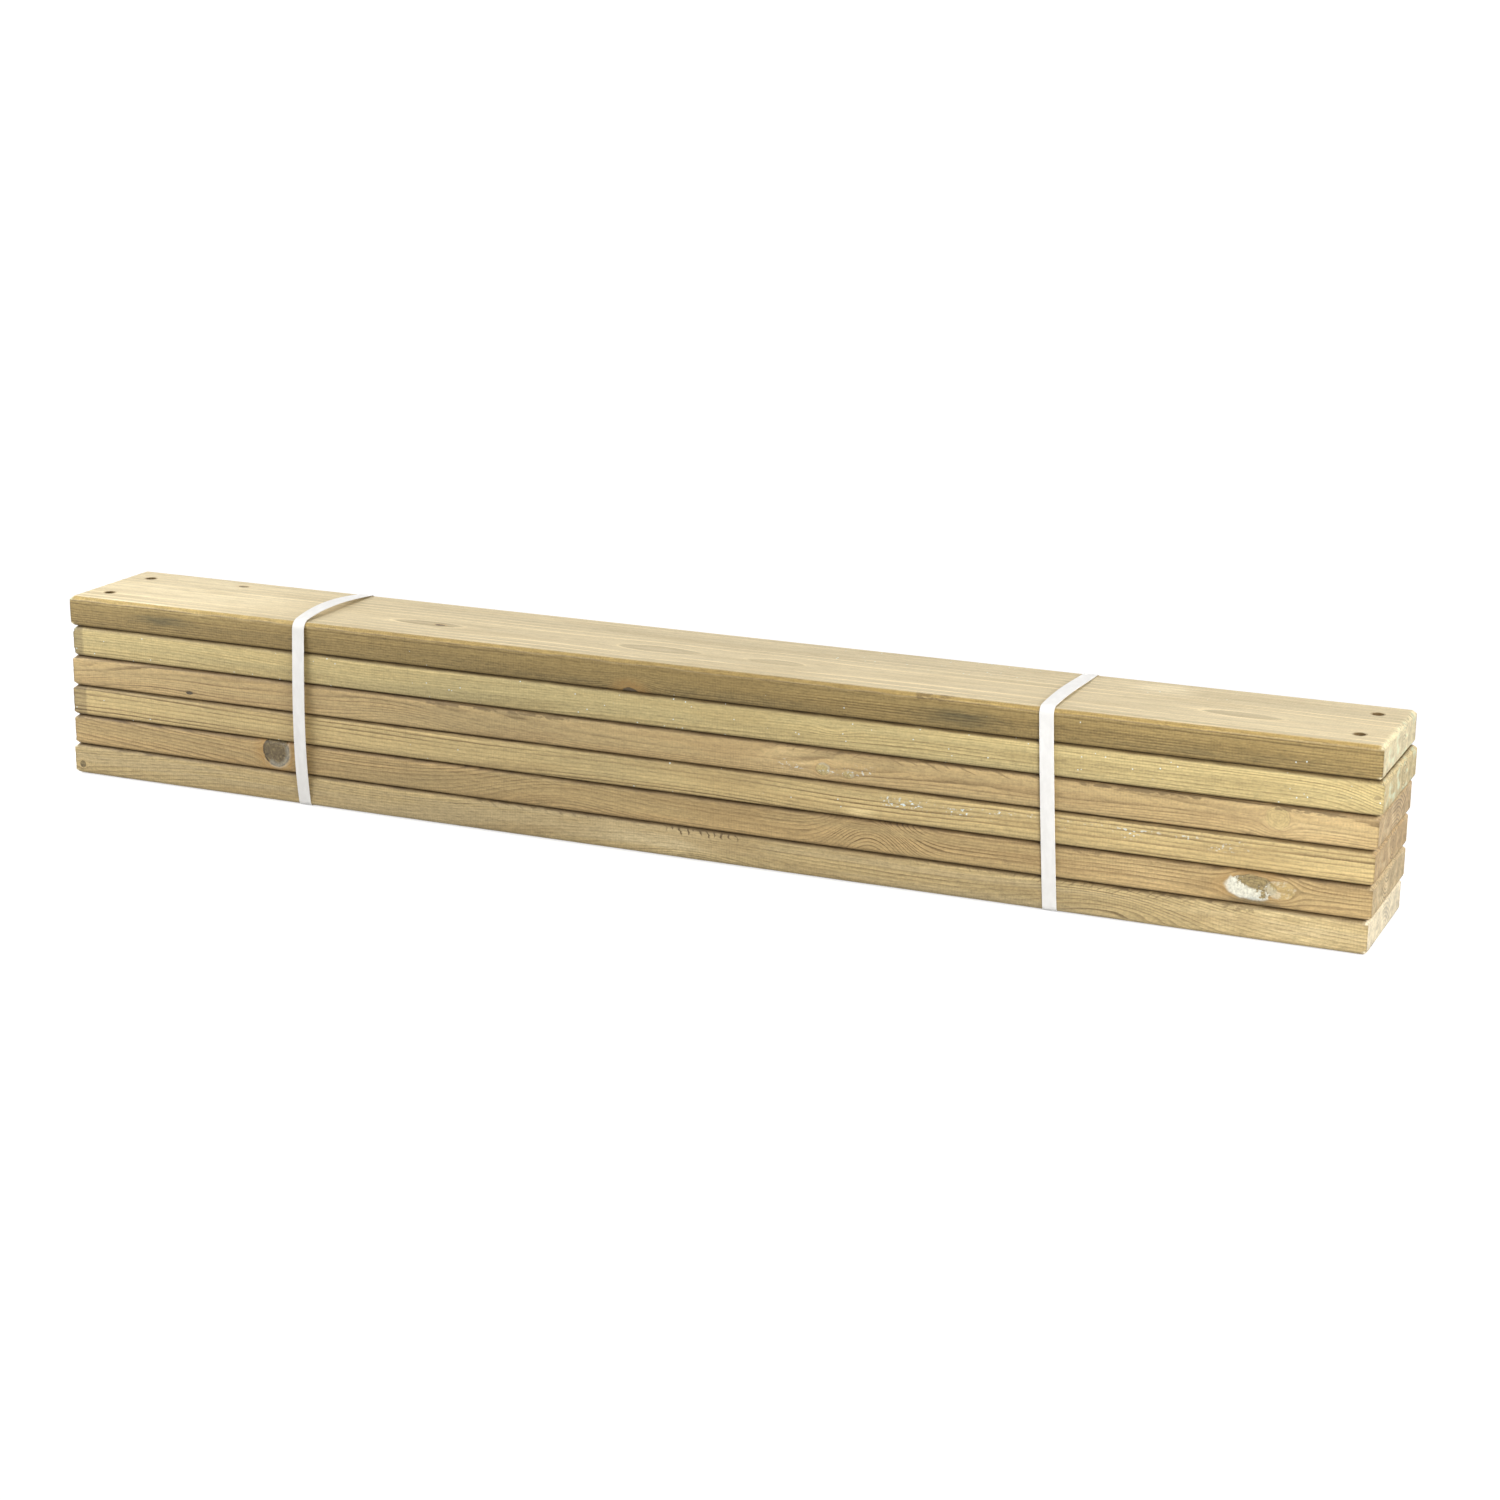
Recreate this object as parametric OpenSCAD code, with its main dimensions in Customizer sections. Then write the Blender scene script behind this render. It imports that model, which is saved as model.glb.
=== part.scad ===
// Bundle of treated planks: drilled boards stacked flat and held by two plastic straps.
// Millimetres. X runs along the planks, Y across them and Z up.
// The origin is on the floor, under the middle of the bundle.

/* [Planks] */
// Number of planks in the stack
plank_count = 6; // [2:1:10]
// Length of one plank
plank_length = 1200; // [600:10:3000]
// Width of one plank
plank_width = 120; // [90:1:200]
// Thickness of one plank
plank_thickness = 28; // [18:1:45]
// Radius of the four long edges
edge_radius = 4; // [1:0.5:8]
// Chamfer across the top and the bottom of each end
end_chamfer = 3; // [1:0.5:6]
// Furthest that a plank lies out of line along the bundle
slip_max = 2.8; // [0:0.1:10]

/* [Bolt holes] */
// Diameter of a hole
hole_diameter = 9; // [5:0.5:14]
// Distance from the end of a plank to its holes
hole_inset = 25; // [15:1:80]
// Distance between the two holes at one end
hole_pitch = 65; // [30:1:68]

/* [Straps] */
// Width of a strap
strap_width = 12; // [9:0.5:19]
// Thickness of a strap
strap_thickness = 0.6; // [0.4:0.1:1.2]
// Length of the welded overlap at the back
weld_length = 36; // [20:1:60]
// Distance from the left end of the bundle to the middle of the left strap
left_strap_inset = 245; // [60:1:280]
// Distance from the right end of the bundle to the middle of the right strap
right_strap_inset = 262; // [60:1:280]
// How far the slack left strap stands up over the top
left_strap_rise = 6.4; // [0:0.1:12]
// How far the slack left strap stands out at the front and back
left_strap_bulge = 4.2; // [0:0.1:12]
// How far the right strap stands up over the top
right_strap_rise = 2.2; // [0:0.1:12]
// How far the right strap stands out at the front and back
right_strap_bulge = 0.8; // [0:0.1:12]
// Sideways drift of the right strap from the top to the bottom
right_strap_drift = 8; // [0:0.5:30]

/* [Hidden] */
$fn = 48;
// How far a cutter runs past the face that it cuts
overrun = 1;
// Place of each plank along the bundle, from the bottom up, as shares of the furthest slip
slip_shares = [-0.95, -0.3, -0.25, 0.2, 1, 0.25];
// Straight pieces in a bowed run of strap, and in the turn over one corner
bow_steps = 24;
corner_steps = 8;

stack_height = plank_count * plank_thickness;
// Centres of the rounded corners of the stack, as seen along the bundle
corner_y = plank_width / 2 - edge_radius;
corner_low = strap_thickness + edge_radius;
corner_high = strap_thickness + stack_height - edge_radius;
corners = [
    [-corner_y, corner_low], [corner_y, corner_low],
    [corner_y, corner_high], [-corner_y, corner_high]
];
BACK = 1;
weld_share = weld_length / (corner_high - corner_low);

plank_names = [for (i = [1:plank_count]) str("plank_", i)];

// Section of a plank, with its four long edges rounded
module plank_section() {
    square([plank_width, plank_thickness - 2 * edge_radius], center = true);
    square([plank_width - 2 * edge_radius, plank_thickness], center = true);
    for (side_y = [-1, 1], side_z = [-1, 1])
        translate([side_y * (plank_width / 2 - edge_radius), side_z * (plank_thickness / 2 - edge_radius)])
            circle(r = edge_radius);
}

// Side view of a plank, with its ends chamfered
module plank_side() {
    end_x = plank_length / 2;
    face_z = plank_thickness / 2;
    polygon([
        [-end_x, end_chamfer - face_z], [end_chamfer - end_x, -face_z],
        [end_x - end_chamfer, -face_z], [end_x, end_chamfer - face_z],
        [end_x, face_z - end_chamfer], [end_x - end_chamfer, face_z],
        [end_chamfer - end_x, face_z], [-end_x, face_z - end_chamfer]
    ]);
}

// Turns a flat section so that it runs along the bundle
module along_bundle(length) {
    rotate([90, 0, 90])
        linear_extrude(length, center = true)
            children();
}

// One plank about its own middle
module plank_body() {
    difference() {
        intersection() {
            along_bundle(plank_length) plank_section();
            rotate([90, 0, 0])
                linear_extrude(plank_width, center = true)
                    plank_side();
        }
        for (side_x = [-1, 1], side_y = [-1, 1])
            translate([side_x * (plank_length / 2 - hole_inset), side_y * hole_pitch / 2])
                cylinder(h = plank_thickness + 2 * overrun, d = hole_diameter, center = true);
    }
}

// Plank in its layer of the stack, counted from 0 at the bottom
module plank(layer) {
    slip = slip_max * slip_shares[layer % len(slip_shares)];
    height = strap_thickness + (layer + 1 / 2) * plank_thickness;
    color("darkkhaki")
        translate([slip, 0, height])
            plank_body();
}

// Bow of each run of a strap: below, behind, on top and in front
function run_bows(rise, bulge) = [0, bulge, rise, bulge];

// Direction that a run faces at a share of its length
function facing(run, bow, share) =
    let (span = norm(corners[(run + 1) % 4] - corners[run]))
    90 * (run - 1) + atan(4 * bow * (2 * share - 1) / span);

// Point of a run at a share of its length, lifted off the corner centres
function run_point(run, bow, share, lift) =
    let (start = corners[run], end = corners[(run + 1) % 4])
    let (out = [cos(90 * (run - 1)), sin(90 * (run - 1))], angle = facing(run, bow, share))
    start + share * (end - start) + 4 * bow * share * (1 - share) * out + lift * [cos(angle), sin(angle)];

// Points of one run
function run_points(run, bow, lift, from = 0, to = 1) =
    let (steps = bow > 0 ? bow_steps : 1)
    [for (i = [0:steps]) run_point(run, bow, from + (to - from) * i / steps, lift)];

// Points of the turn from the run before a corner to the run after it
function corner_points(run, bows, lift) =
    let (before = (run + 3) % 4, turn_end = facing(run, bows[run], 0))
    let (turn_start = facing(before, bows[before], 1) - (run == 0 ? 360 : 0))
    let (step = (turn_end - turn_start) / corner_steps, reach = lift / cos(step / 2))
    [for (i = [0:corner_steps - 1])
        let (angle = turn_start + (i + 1 / 2) * step)
        corners[run] + reach * [cos(angle), sin(angle)]];

// Points of the back run outside, with a step out at each end of the doubled weld
function welded_points(bow) =
    let (single = edge_radius + strap_thickness, double = single + strap_thickness)
    let (weld_from = (1 - weld_share) / 2, weld_to = (1 + weld_share) / 2)
    concat(
        run_points(BACK, bow, single, 0, weld_from),
        run_points(BACK, bow, double, weld_from, weld_to),
        run_points(BACK, bow, single, weld_to, 1)
    );

// Closed outline of the inside of a strap
function inner_loop(bows) =
    [for (run = [0:3])
        each concat(corner_points(run, bows, edge_radius), run_points(run, bows[run], edge_radius))];

// Closed outline of the outside of a strap
function outer_loop(bows) =
    let (lift = edge_radius + strap_thickness)
    [for (run = [0:3])
        let (points = run == BACK ? welded_points(bows[run]) : run_points(run, bows[run], lift))
        each concat(corner_points(run, bows, lift), points)];

// Strap as seen along the bundle: one turn round the stack
module strap_section(bows) {
    difference() {
        polygon(outer_loop(bows));
        polygon(inner_loop(bows));
    }
}

// Strap as seen from the front: a band that drifts sideways on its way down
module strap_front(rise, drift) {
    lean = drift / stack_height;
    half_height = stack_height / 2 + rise + strap_thickness + overrun;
    half_width = strap_width / 2;
    polygon([
        [lean * half_height - half_width, -half_height], [lean * half_height + half_width, -half_height],
        [half_width - lean * half_height, half_height], [-half_width - lean * half_height, half_height]
    ]);
}

// Strap round the stack
module strap(middle_x, rise, bulge, drift = 0) {
    depth = plank_width + 2 * (bulge + 2 * strap_thickness + overrun);
    color("white")
        translate([middle_x, 0, 0])
            intersection() {
                along_bundle(strap_width + 2 * (drift + overrun)) strap_section(run_bows(rise, bulge));
                translate([0, 0, strap_thickness + stack_height / 2])
                    rotate([90, 0, 0])
                        linear_extrude(depth, center = true)
                            strap_front(rise, drift);
            }
}

module strap_left() {
    strap(left_strap_inset - plank_length / 2, left_strap_rise, left_strap_bulge);
}

module strap_right() {
    strap(plank_length / 2 - right_strap_inset, right_strap_rise, right_strap_bulge, right_strap_drift);
}

for (layer = [0:plank_count - 1])
    plank(layer);
strap_left();
strap_right();
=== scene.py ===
import math
from collections.abc import Sequence
from dataclasses import dataclass

import bpy
import numpy as np
from mathutils import Matrix, Vector


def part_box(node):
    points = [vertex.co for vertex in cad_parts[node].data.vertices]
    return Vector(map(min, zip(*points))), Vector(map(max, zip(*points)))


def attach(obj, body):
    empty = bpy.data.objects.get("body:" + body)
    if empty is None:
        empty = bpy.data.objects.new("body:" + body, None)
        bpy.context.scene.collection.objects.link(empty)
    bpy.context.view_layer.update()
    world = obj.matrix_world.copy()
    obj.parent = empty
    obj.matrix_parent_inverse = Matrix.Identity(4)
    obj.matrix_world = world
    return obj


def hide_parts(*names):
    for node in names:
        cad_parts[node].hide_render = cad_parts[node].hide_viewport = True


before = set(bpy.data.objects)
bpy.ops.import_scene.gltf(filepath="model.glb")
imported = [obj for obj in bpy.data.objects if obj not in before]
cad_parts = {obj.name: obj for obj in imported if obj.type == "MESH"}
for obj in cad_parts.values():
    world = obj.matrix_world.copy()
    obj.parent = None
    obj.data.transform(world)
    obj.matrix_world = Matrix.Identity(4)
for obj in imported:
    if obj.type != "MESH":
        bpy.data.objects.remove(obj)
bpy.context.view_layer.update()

MM = 0.001
BODY = "root"

# Sizes of a plank, in millimetres
EDGE_RADIUS = 4.0
END_CHAMFER = 3.0
HOLE_RADIUS = 4.5
HOLE_INSET = 25.0
HOLE_Y = 32.5
HALF_THICKNESS = 14.0
KNOT_DEPTH = 45.0

# Spacing of the mesh, in millimetres, and numbers of steps
STEP_ALONG = 2.6
STEP_NEAR_END = 2.0
NEAR_END_STEPS = 19
STEP_END_FACE = 1.3
STEP_SIDE = 0.8
STEP_SHOWN = 1.3
STEP_HIDDEN = 4.2
STEP_STRAP = 1.2
ARC_STEPS = 8
CHAMFER_STEPS = 3
CORNER_STEPS = 12
PATCH_X, PATCH_Y = 8.0, 8.5
PATCH_RINGS = 5
HOLE_RINGS = 6
HOLE_LIP = 0.35
END_INSET_Y, END_INSET_Z = 1.4, 1.2
SHARP_ANGLE = math.radians(38)

# Kinds of surface on a plank
PLANED, DRILLED, SAWN = 0.0, 0.5, 1.0

# Relief of the wood, in millimetres
LATE_RISE, FIBRE_RISE, PLANED_OFF = 0.07, 0.05, 0.12
KNOT_SINK, CRACK_SINK = 0.1, 0.3
CHIP_SINK = 0.15
FRAY = 0.2
SAWN_LATE, SAWN_SCORE, SAWN_OFF = 0.10, 0.12, 0.25
RAGGED_DEPTH = 0.8

# Gloss, bump in metres, and ripples in radians per millimetre
SPECULAR = 0.45
WOOD_BUMP, STRAP_BUMP = 0.00018, 0.00005
RIPPLE_RATE, RIPPLE_SHADE = 2.6, 0.036
EMBOSS_RATE, PRESS_RATE = 3.2, 2.1

# Colours that the planks share
KNOT_LIGHT = (0.52, 0.40, 0.17)
KNOT_BROWN = (0.125, 0.092, 0.048)
KNOT_DARK = (0.035, 0.025, 0.014)
KNOT_HALO = (0.42, 0.235, 0.07)
RESIN = (0.66, 0.64, 0.53)
STAIN = (0.50, 0.55, 0.62)
# Lightens bleached wood, and paints the sheen and highlight on the top plank
BLEACH_AND_HIGHLIGHT = (1.36, 1.42, 1.54)
STRIP = (0.66, 0.65, 0.66)
SALT = (0.74, 0.85, 0.86)
# Torn wood, and the painted shade in nicked edges
TORN_WOOD_AND_SHADE = (0.12, 0.08, 0.035)
COPPER_GREEN = (0.47, 0.56, 0.42)
# Painted shade in the grooves between planks
GROOVE_SHADE = (0.26, 0.22, 0.18)
# Painted shade on the walls of the holes
BORED_SHADE = (0.42, 0.37, 0.27)
MOUTH = (0.50, 0.43, 0.33)

X_AXIS, Y_AXIS, Z_AXIS = (1.0, 0.0, 0.0), (0.0, 1.0, 0.0), (0.0, 0.0, 1.0)

# Ways that a branch leaves a plank, and the front face as a span
FRONT = (0.0, -1.0, 0.0)
BACK = Y_AXIS
UP = (0.0, 0.15, 1.0)
FRONT_Y = (-60, -60)


# Wood of each plank

@dataclass
class Knot:
    """A branch seen on a face. Its place is in millimetres from the middle of the plank."""
    at: tuple
    axis: tuple
    radius: float
    stretch: float
    dark: float
    rim: float = 0.8
    halo: float = 0.5
    halo_reach: float = 2.1
    resin: float = 0.0
    resin_side: tuple = (-1.0, 0.7)
    painted: float = 1.0


@dataclass
class Tear:
    """Slanting torn strokes under the front upper edge, between two places along the plank."""
    start: float
    end: float
    slant: float
    pitch: float
    reach: float
    strength: float


@dataclass
class Wood:
    """How one plank is cut from its log and what marks it has, in millimetres."""
    pith: tuple
    ring: float
    early: tuple
    late: tuple
    tint: tuple
    shade: tuple
    end_pith: tuple
    end_colour: tuple
    end_ring: float
    wander: tuple
    contrast: float
    green: float
    seed: int
    end_late: float = 0.48
    front_contrast: float = 0.0
    roughness: float = 1.0
    grit: float = 1.0
    lift: float = 0.0
    glint: float = 0.25
    edge_tint: tuple = (1.0, 1.0, 1.0)
    front_tint: tuple = (1.0, 1.0, 1.0)
    front_slope: float = 0.0
    bumps: Sequence = ()
    knots: Sequence = ()
    tears: Sequence = ()
    stains_and_highlights: Sequence = ()
    worn: Sequence = ()
    bold: Sequence = ()
    specks: Sequence = ()
    salt: Sequence = ()
    left_strip: float = 0.0
    ragged: float = 0.3


WOODS = {}
WOODS["plank_1"] = Wood(
    pith=(0, -30), ring=1.4, wander=(9, 7), contrast=0.52, lift=0.06, grit=1.6, seed=11,
    early=(0.49, 0.372, 0.178), late=(0.22, 0.155, 0.07),
    tint=(0.43, 0.338, 0.185), shade=(0.37, 0.265, 0.12),
    end_pith=(0, -24), end_colour=(0.79, 0.685, 0.48), end_ring=3.4, end_late=0.74, green=0.05,
    knots=[
        Knot((-592, -60, -5), FRONT, 3.2, 1.0, dark=0.8, halo=0.2),
        Knot((150, 60, 2), BACK, 11.0, 1.3, dark=0.7),
    ],
    bumps=[((30, -60, -15), (60, 30, 16), -6.0), ((395, -60, -6), (70, 30, 24), -7.0)],
    tears=[Tear(-190, -60, 1.6, 13, 3.5, 0.4), Tear(5, 72, 0.5, 6.5, 6.5, 1.0),
           Tear(310, 460, -1.6, 8.0, 6, 0.55), Tear(225, 300, 0.7, 9, 4, 0.3)],
    worn=[((485, 511), FRONT_Y, (8.5, 14), 0.6)],
    bold=[((20, -60, -10), (45, 10, 14), 0.4), ((385, -60, -4), (60, 10, 18), 1.0)],
    stains_and_highlights=[((0, -60, -2), (60, 12, 16), -0.6), ((530, -60, 0), (75, 12, 18), -0.75),
            ((330, -60, 0), (70, 12, 16), 0.15)],
)
WOODS["plank_2"] = Wood(
    pith=(-10, -45), ring=2.1, wander=(10, 8), contrast=0.66, lift=-0.03, grit=1.3, seed=22,
    early=(0.47, 0.33, 0.148), late=(0.19, 0.125, 0.052),
    tint=(0.40, 0.295, 0.135), shade=(0.35, 0.235, 0.10),
    end_pith=(-6, 14), end_colour=(0.55, 0.415, 0.225), end_ring=3.0, green=0.1,
    knots=[
        Knot((-382.5, -60, 4.0), FRONT, 13.6, 1.0, dark=0.97, rim=1.0, halo=0.9,
             resin=0.25, resin_side=(1.0, -0.9)),
        Knot((506, -60, 1.5), FRONT, 9.5, 2.0, dark=0.65, rim=0.5, halo=0.5,
             resin=0.95, resin_side=(-0.9, -0.9)),
        Knot((529, -60, 1.5), FRONT, 7.0, 1.6, dark=0.0, rim=0.0, halo=0.0,
             resin=0.8, resin_side=(-0.4, 0.0), painted=0.42),
        Knot((-120, 60, -3), BACK, 12.0, 1.2, dark=0.8),
    ],
    bumps=[((187, -60, -10), (34, 30, 60), -24.0),
           ((-105, -60, -12), (70, 30, 40), -9.0)],
    worn=[((350, 382), FRONT_Y, (10, 14), 0.5)],
    stains_and_highlights=[((508, -60, -11), (22, 9, 4), 0.8), ((410, -60, 0), (50, 12, 16), -0.3),
            ((-265, -60, 0), (60, 12, 16), 0.15)],
    bold=[((206, -60, -3), (40, 10, 20), 1.4), ((-320, -60, -2), (40, 10, 14), 0.4),
          ((-110, -60, -4), (70, 10, 14), 0.6)],
)
WOODS["plank_3"] = Wood(
    pith=(-15, 60), ring=2.8, wander=(7, 6), contrast=0.95, lift=0.02, seed=33,
    early=(0.57, 0.43, 0.195), late=(0.22, 0.15, 0.063),
    tint=(0.51, 0.395, 0.185), shade=(0.40, 0.285, 0.125),
    end_pith=(7, 2), end_colour=(0.48, 0.33, 0.158), end_ring=3.0, green=0.1,
    knots=[Knot((330, 60, 1), BACK, 9.0, 1.3, dark=0.6)],
    specks=[((-600, 190), FRONT_Y, (-12, 12), 0.10)],
    salt=[((200, 275), FRONT_Y, (2.5, 6), 1.0), ((286, 330), FRONT_Y, (2, 6), 1.0),
          ((350, 500), FRONT_Y, (1.5, 5.5), 1.0)],
    stains_and_highlights=[((179, -60, -8.6), (14, 9, 5), -1.0), ((-60, -60, 0), (60, 12, 16), 0.2),
            ((-480, -60, 0), (110, 12, 16), 0.1)],
    worn=[((345, 600), FRONT_Y, (10, 14), 0.35)],
    bold=[((500, -60, 0), (110, 10, 18), -0.3)],
    left_strip=13.5,
)
WOODS["plank_4"] = Wood(
    pith=(-30, 9), ring=1.5, wander=(5, 4), contrast=0.8, seed=44,
    early=(0.51, 0.365, 0.168), late=(0.22, 0.148, 0.064),
    tint=(0.46, 0.345, 0.165), shade=(0.40, 0.275, 0.125),
    end_pith=(0, -40), end_colour=(0.48, 0.34, 0.175), end_ring=3.2, green=0.1,
    knots=[
        Knot((-474, -60, -7.7), FRONT, 1.5, 2.4, dark=1.6, rim=1.0, halo=0.0),
        Knot((143.5, -60, -3.6), FRONT, 5.0, 1.2, dark=0.25, rim=0.5, halo=0.3,
             resin=0.25, resin_side=(0.9, 0.9)),
        Knot((166, -60, -5.6), FRONT, 3.0, 1.6, dark=0.25, rim=0.5, halo=0.2,
             resin=0.25, resin_side=(0.9, 0.9)),
        Knot((522, -60, 3.5), FRONT, 9.0, 1.1, dark=0.1, rim=0.5, halo=0.1, painted=0.45),
        Knot((-420, 60, 4), BACK, 12.0, 1.2, dark=0.9),
    ],
    bumps=[((-520, -60, -14), (70, 30, 20), 6.0), ((-255, -60, -14), (45, 30, 14), 4.5)],
    tears=[Tear(205, 335, 2.4, 15.0, 6.0, 0.5), Tear(95, 200, -1.5, 9.0, 4.0, 0.4)],
    # Painted shade of ragged nicks along the top edge, under the plank above
    worn=[((-228, -196), FRONT_Y, (11, 14), 0.75), ((-182, -160), FRONT_Y, (11, 14), 0.75),
          ((-148, -90), FRONT_Y, (11, 14), 0.75), ((363, 460), FRONT_Y, (11.4, 14), 0.8),
          ((520, 574), FRONT_Y, (11, 14), 0.75)],
    salt=[((105, 185), FRONT_Y, (-4, 0.5), 0.6)],
    stains_and_highlights=[((540, -60, 0), (60, 12, 16), -0.45), ((115, -60, 0), (45, 12, 16), -0.4),
            ((-180, -60, 0), (150, 12, 16), 0.15)],
    bold=[((-270, -60, -6), (70, 10, 12), 0.6), ((-470, -60, 4), (60, 10, 10), 0.4)],
)
WOODS["plank_5"] = Wood(
    pith=(-20, -60), ring=2.0, wander=(4, 4), contrast=0.58, lift=0.07, seed=55,
    early=(0.56, 0.44, 0.20), late=(0.26, 0.195, 0.08),
    tint=(0.49, 0.40, 0.19), shade=(0.44, 0.335, 0.145),
    end_pith=(15, 0), end_colour=(0.58, 0.465, 0.245), end_ring=2.8, green=0.6,
    knots=[
        Knot((595, -60, 1), FRONT, 1.7, 1.6, dark=1.0, rim=0.6, halo=0.2, painted=0.5),
        Knot((60, 60, -2), BACK, 8.0, 1.3, dark=0.5),
    ],
    bumps=[((150, -60, 2), (16, 20, 5), 3.0), ((612, -60, 2), (34, 30, 40), 11.0)],
    specks=[((-600, 600), FRONT_Y, (-14, 14), 0.30)],
    stains_and_highlights=[((-180, -60, 0), (150, 12, 16), 0.15)],
    left_strip=10.5, ragged=1.2, bold=[((585, -60, 3), (22, 10, 14), 0.7)],
)
WOODS["plank_6"] = Wood(
    pith=(-16, -17.5), ring=7.0, wander=(4, 0.4), contrast=0.24, front_contrast=1.0,
    glint=1.0, roughness=0.5, grit=2.0, front_slope=-3.3, lift=0.04, seed=66,
    edge_tint=(0.64, 0.535, 0.285), front_tint=(0.48, 0.412, 0.248),
    early=(0.60, 0.495, 0.305), late=(0.36, 0.28, 0.155),
    tint=(0.56, 0.465, 0.285), shade=(0.50, 0.40, 0.23),
    end_pith=(14, -6), end_colour=(0.68, 0.58, 0.36), end_ring=2.8, end_late=0.66, green=0.5,
    knots=[
        Knot((-478, 40, 14), UP, 3.0, 1.7, dark=0.8, rim=0.5, halo=0.6),
        Knot((-238, -17, 14), UP, 2.6, 1.8, dark=1.0, rim=0.5, halo=0.6),
        Knot((-33, -60, -15.6), FRONT, 5.5, 1.4, dark=1.2, rim=0.8, halo=1.0, halo_reach=3.2),
        Knot((290, 60, -3), BACK, 6.5, 1.2, dark=0.8),
    ],
    bumps=[((-27, -16, 14), (52, 24, 20), -7.0), ((85, -15, 14), (42, 22, 20), -6.0),
           ((480, -12, 14), (70, 24, 20), -6.5), ((-250, -17, 14), (70, 26, 20), -6.0),
           ((-33, -60, -16), (22, 14, 11), 27.0)],
    bold=[((0, 52, 14), (1200, 24, 8), -0.45), ((-480, -10, 14), (120, 50, 8), -0.4),
          ((-33, -60, -8), (28, 8, 12), 1.0), ((-27, -16, 14), (56, 18, 8), 0.65),
          ((85, -15, 14), (46, 16, 8), 0.55), ((-250, -17, 14), (80, 20, 8), 0.75),
          ((480, -12, 14), (74, 18, 8), 0.5)],
    stains_and_highlights=[
        ((-500, -60, 1), (32, 8, 6), 0.8), ((258, -60, -3), (40, 8, 8), 0.8),
        ((60, -60, -9), (90, 8, 5), 0.35), ((-110, -60, -9), (80, 8, 4), 0.3),
        ((480, -60, -8), (90, 8, 5), 0.35),
        # Painted sheen over the left of the top (second patch here), and a painted highlight along the left
        # of the rounded front edge (next line)
        ((400, 36, 14), (26, 14, 8), -0.5), ((-510, 10, 14), (130, 70, 8), -0.5),
        ((-470, -59, 12), (150, 6, 7), -1.0),
    ],
    # The second span paints the shade of a shallow notch in the front upper edge
    worn=[((598.4, 602), (-10, 58), (12.2, 13.6), 0.45), ((223, 254), (-60, -57), (10.5, 13.4), 0.6)],
    specks=[((120, 340), (15, 58), (14, 14), 0.35), ((380, 560), (20, 56), (14, 14), 0.15),
            ((-340, 560), FRONT_Y, (-14, 14), 0.06)],
)


# Noise on arrays of points

def hashed(cell, seed):
    """A number from 0 to 1 for each whole-numbered cell."""
    x, y, z = (cell[..., i].astype(np.uint32) for i in range(3))
    n = x * np.uint32(374761393) + y * np.uint32(668265263) + z * np.uint32(2246822519)
    n = n + np.uint32(seed * 97471)
    n = (n ^ (n >> np.uint32(13))) * np.uint32(1274126177)
    n = n ^ (n >> np.uint32(16))
    return n.astype(float) / 2 ** 32


def noise(points, period, seed):
    """Smooth noise from -1 to 1 whose bumps have the given size along each axis."""
    p = points / np.asarray(period, float)
    base = np.floor(p)
    f = p - base
    f = f * f * f * (f * (f * 6 - 15) + 10)
    cell = base.astype(np.int64)
    total = np.zeros(len(p))
    for corner in np.ndindex(2, 2, 2):
        c = np.array(corner)
        total += hashed(cell + c, seed) * np.prod(np.where(c, f, 1 - f), axis=1)
    return total * 2 - 1


def wave(values, period, seed):
    """Smooth noise from -1 to 1 along one row of values."""
    return noise(np.c_[values, np.zeros((len(values), 2))], (period, 1, 1), seed)


def smooth(value, low, high):
    """0 below low, 1 above high and a smooth step between."""
    t = np.clip((value - low) / (high - low), 0, 1)
    return t * t * (3 - 2 * t)


# Grain of a plank

# A distance from a knot, in its radii, where the grain is straight
FAR = 6.0


def knot_axes(knot):
    """Unit vectors along a knot and across it in the face."""
    axis = np.array(knot.axis) / np.linalg.norm(knot.axis)
    across = np.cross(axis, X_AXIS)
    return axis, across / np.linalg.norm(across)


def flow_round_knots(wood, points):
    """Moves points so that straight grain, read at the moved place, runs round the knots."""
    q = points.copy()
    nearest = np.full(len(q), FAR)
    for k in wood.knots:
        axis, across = knot_axes(k)
        rel = points - np.array(k.at, float)
        inward = rel @ axis
        dx = (rel[:, 0] - inward * axis[0]) / (k.radius * k.stretch)
        dt = rel @ across / k.radius
        rho = np.hypot(dx, dt)
        here = smooth(inward, -KNOT_DEPTH, -KNOT_DEPTH * 0.6)
        push = np.exp(-(rho / 4.5) ** 2) / np.maximum(rho, 1) ** 2 * here
        q -= np.outer(dt * k.radius * push, across)
        nearest = np.minimum(nearest, np.where(here > 0.2, rho, FAR))
    return q, nearest


def ring_count(wood, q, half):
    """Number of growth rings between the pith and each point."""
    pith_y = wood.pith[0] + wood.wander[0] * wave(q[:, 0], 330, wood.seed)
    pith_z = wood.pith[1] + wood.wander[1] * wave(q[:, 0], 260, wood.seed + 1)
    radius = np.hypot(q[:, 1] - pith_y, q[:, 2] - pith_z)
    for centre, size, height in wood.bumps:
        radius += height * np.exp(-(((q - np.array(centre, float)) / np.array(size, float)) ** 2).sum(1))
    radius += wood.front_slope * q[:, 2] * smooth(-q[:, 1], half[1] - 3.5, half[1] - 1)
    radius += wood.roughness * 0.8 * noise(q, (190, 17, 17), wood.seed + 2)
    radius += wood.roughness * 0.3 * noise(q, (70, 6, 6), wood.seed + 3)
    radius += wood.roughness * 0.5 * wood.ring * wave(radius, 3.1 * wood.ring, wood.seed + 4)
    return radius / wood.ring


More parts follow.
